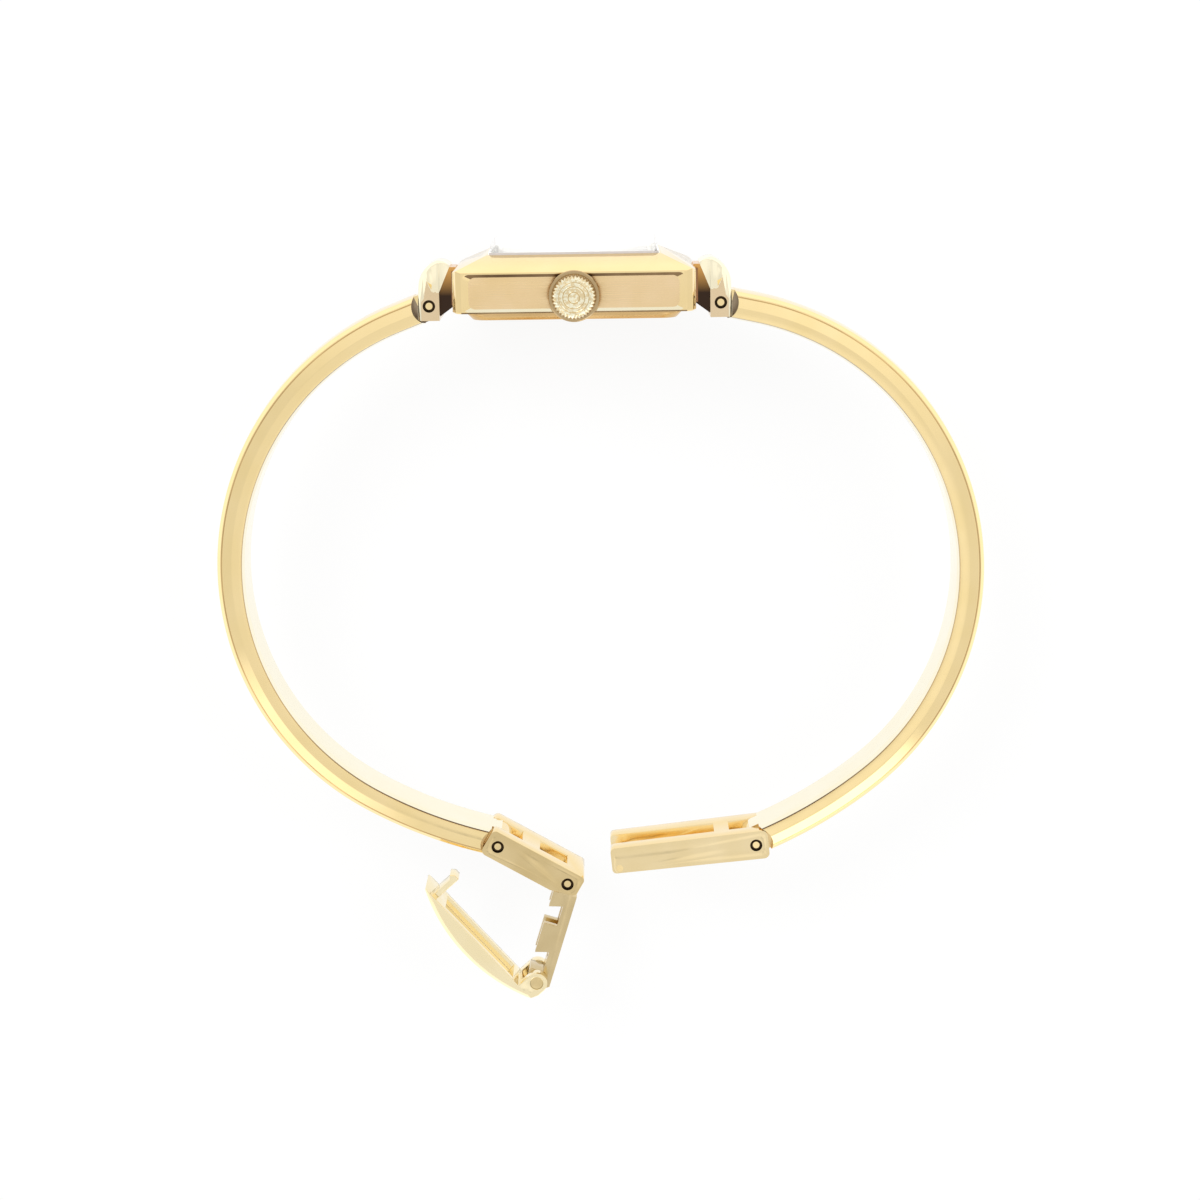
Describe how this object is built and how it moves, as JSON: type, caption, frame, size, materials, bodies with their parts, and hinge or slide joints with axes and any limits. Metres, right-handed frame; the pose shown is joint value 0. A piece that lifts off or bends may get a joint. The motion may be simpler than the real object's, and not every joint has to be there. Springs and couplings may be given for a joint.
{
  "type": "bangle watch",
  "caption": "Gold bangle watch: rectangular case with box crystal, faceted hoods, two hinged faceted arms and a folding clasp with a curved cover, lying open on its side.",
  "frame": {"origin": "middle of the case's 9 o'clock side, the face it rests on, halfway up its upright wall", "axes": "+X to 12 o'clock, +Y out of the dial, +Z to 3 o'clock along the crown and every clasp pin"},
  "size_m": [0.0602, 0.0608, 0.0176],
  "materials": {
    "crystal_glass": "clear polished",
    "dial_enamel": "plain silvered white",
    "gasket_nylon": "pale grey nylon",
    "gasket_rubber": "matt black",
    "holder_plastic": "plain moulded",
    "movement_brass": "gilt, fine grained",
    "movement_steel": "polished steel",
    "polished_gold": "polished yellow gold",
    "satin_gold": "satin-brushed yellow gold"
  },
  "bodies": {
    "case": {"case_body": "polished_gold", "case_back": "satin_gold", "crystal": "crystal_glass", "crystal_gasket": "gasket_nylon", "dial": "dial_enamel", "hour_markers": "polished_gold", "movement_holder": "holder_plastic", "main_plate": "movement_brass", "train_bridge": "movement_brass", "crown_tube": "polished_gold", "hood_left": "polished_gold", "hood_right": "polished_gold", "hood_left_pin": "polished_gold", "hood_right_pin": "polished_gold"},
    "left_arm": {"arm_left": "polished_gold"},
    "right_arm": {"arm_right": "polished_gold"},
    "left_link": {"left_link": "polished_gold", "left_link_pin": "polished_gold", "blade_pin": "polished_gold"},
    "right_link": {"right_link": "polished_gold", "right_link_pin": "polished_gold", "catch_pin": "polished_gold"},
    "blade": {"blade": "polished_gold", "cover_pin": "polished_gold"},
    "cover": {"cover": "polished_gold"},
    "crown_slide": {"crown_gasket": "gasket_rubber"},
    "crown": {"crown": "polished_gold", "stem": "movement_steel"},
    "winding_pinion": {"winding_pinion": "movement_steel"},
    "minute_arbor": {"centre_wheel": "movement_brass", "cannon_pinion": "movement_steel", "minute_hand": "polished_gold"},
    "hour_pipe": {"hour_wheel": "movement_brass", "hour_hand": "polished_gold"},
    "minute_wheel": {"minute_wheel": "movement_brass"},
    "barrel": {"barrel": "movement_brass"},
    "third_wheel": {"third_wheel": "movement_brass"}
  },
  "joints": [
    {"name": "left_arm_hinge", "type": "hinge", "parent": "case", "child": "left_arm", "pos_m": [-0.01118, -0.0013, 0.00775], "axis": [0, 0, -1], "range_deg": [-1, 24]},
    {"name": "right_arm_hinge", "type": "hinge", "parent": "case", "child": "right_arm", "pos_m": [0.01118, -0.0013, 0.00775], "axis": [0, 0, 1], "range_deg": [-1, 15]},
    {"name": "left_link_hinge", "type": "hinge", "parent": "left_arm", "child": "left_link", "pos_m": [-0.00682, -0.0443, 0.00775], "axis": [0, 0, 1], "range_deg": [-10, 34]},
    {"name": "right_link_hinge", "type": "hinge", "parent": "right_arm", "child": "right_link", "pos_m": [0.01376, -0.04444, 0.00775], "axis": [0, 0, 1], "range_deg": [-5, 30]},
    {"name": "blade_hinge", "type": "hinge", "parent": "left_link", "child": "blade", "pos_m": [-0.00132, -0.04747, 0.00775], "axis": [0, 0, 1], "range_deg": [-10, 77]},
    {"name": "cover_hinge", "type": "hinge", "parent": "blade", "child": "cover", "pos_m": [-0.00395, -0.05592, 0.00775], "axis": [0, 0, -1], "range_deg": [-110, 18]},
    {"name": "crown_pull", "type": "slide", "parent": "case", "child": "crown_slide", "axis": [0, 0, 1], "range_m": [0, 0.0007]},
    {"name": "crown_spin", "type": "hinge", "parent": "crown_slide", "child": "crown", "pos_m": [0, -0.00025, 0.0165], "axis": [0, 0, 1], "continuous": true},
    {"name": "winding_pinion_spin", "type": "hinge", "parent": "case", "child": "winding_pinion", "pos_m": [0, -0.00025, 0.0114], "axis": [0, 0, 1], "continuous": true},
    {"name": "minute_arbor_spin", "type": "hinge", "parent": "case", "child": "minute_arbor", "pos_m": [0, 0, 0.00775], "axis": [0, -1, 0], "continuous": true},
    {"name": "hour_pipe_spin", "type": "hinge", "parent": "case", "child": "hour_pipe", "pos_m": [0, 0.0008, 0.00775], "axis": [0, -1, 0], "continuous": true},
    {"name": "minute_wheel_spin", "type": "hinge", "parent": "case", "child": "minute_wheel", "pos_m": [-0.00203, 0, 0.00701], "axis": [0, -1, 0], "continuous": true},
    {"name": "barrel_spin", "type": "hinge", "parent": "case", "child": "barrel", "pos_m": [0.00304, 0, 0.00693], "axis": [0, -1, 0], "continuous": true},
    {"name": "third_wheel_spin", "type": "hinge", "parent": "case", "child": "third_wheel", "pos_m": [-0.00227, 0, 0.00906], "axis": [0, -1, 0], "continuous": true}
  ],
  "couplings": [
    {"joint": "winding_pinion_spin", "follows": "crown_spin", "ratio": 1},
    {"joint": "hour_pipe_spin", "follows": "minute_arbor_spin", "ratio": 0.083333},
    {"joint": "minute_wheel_spin", "follows": "minute_arbor_spin", "ratio": -0.33333},
    {"joint": "barrel_spin", "follows": "minute_arbor_spin", "ratio": -0.16667},
    {"joint": "third_wheel_spin", "follows": "minute_arbor_spin", "ratio": -6}
  ]
}
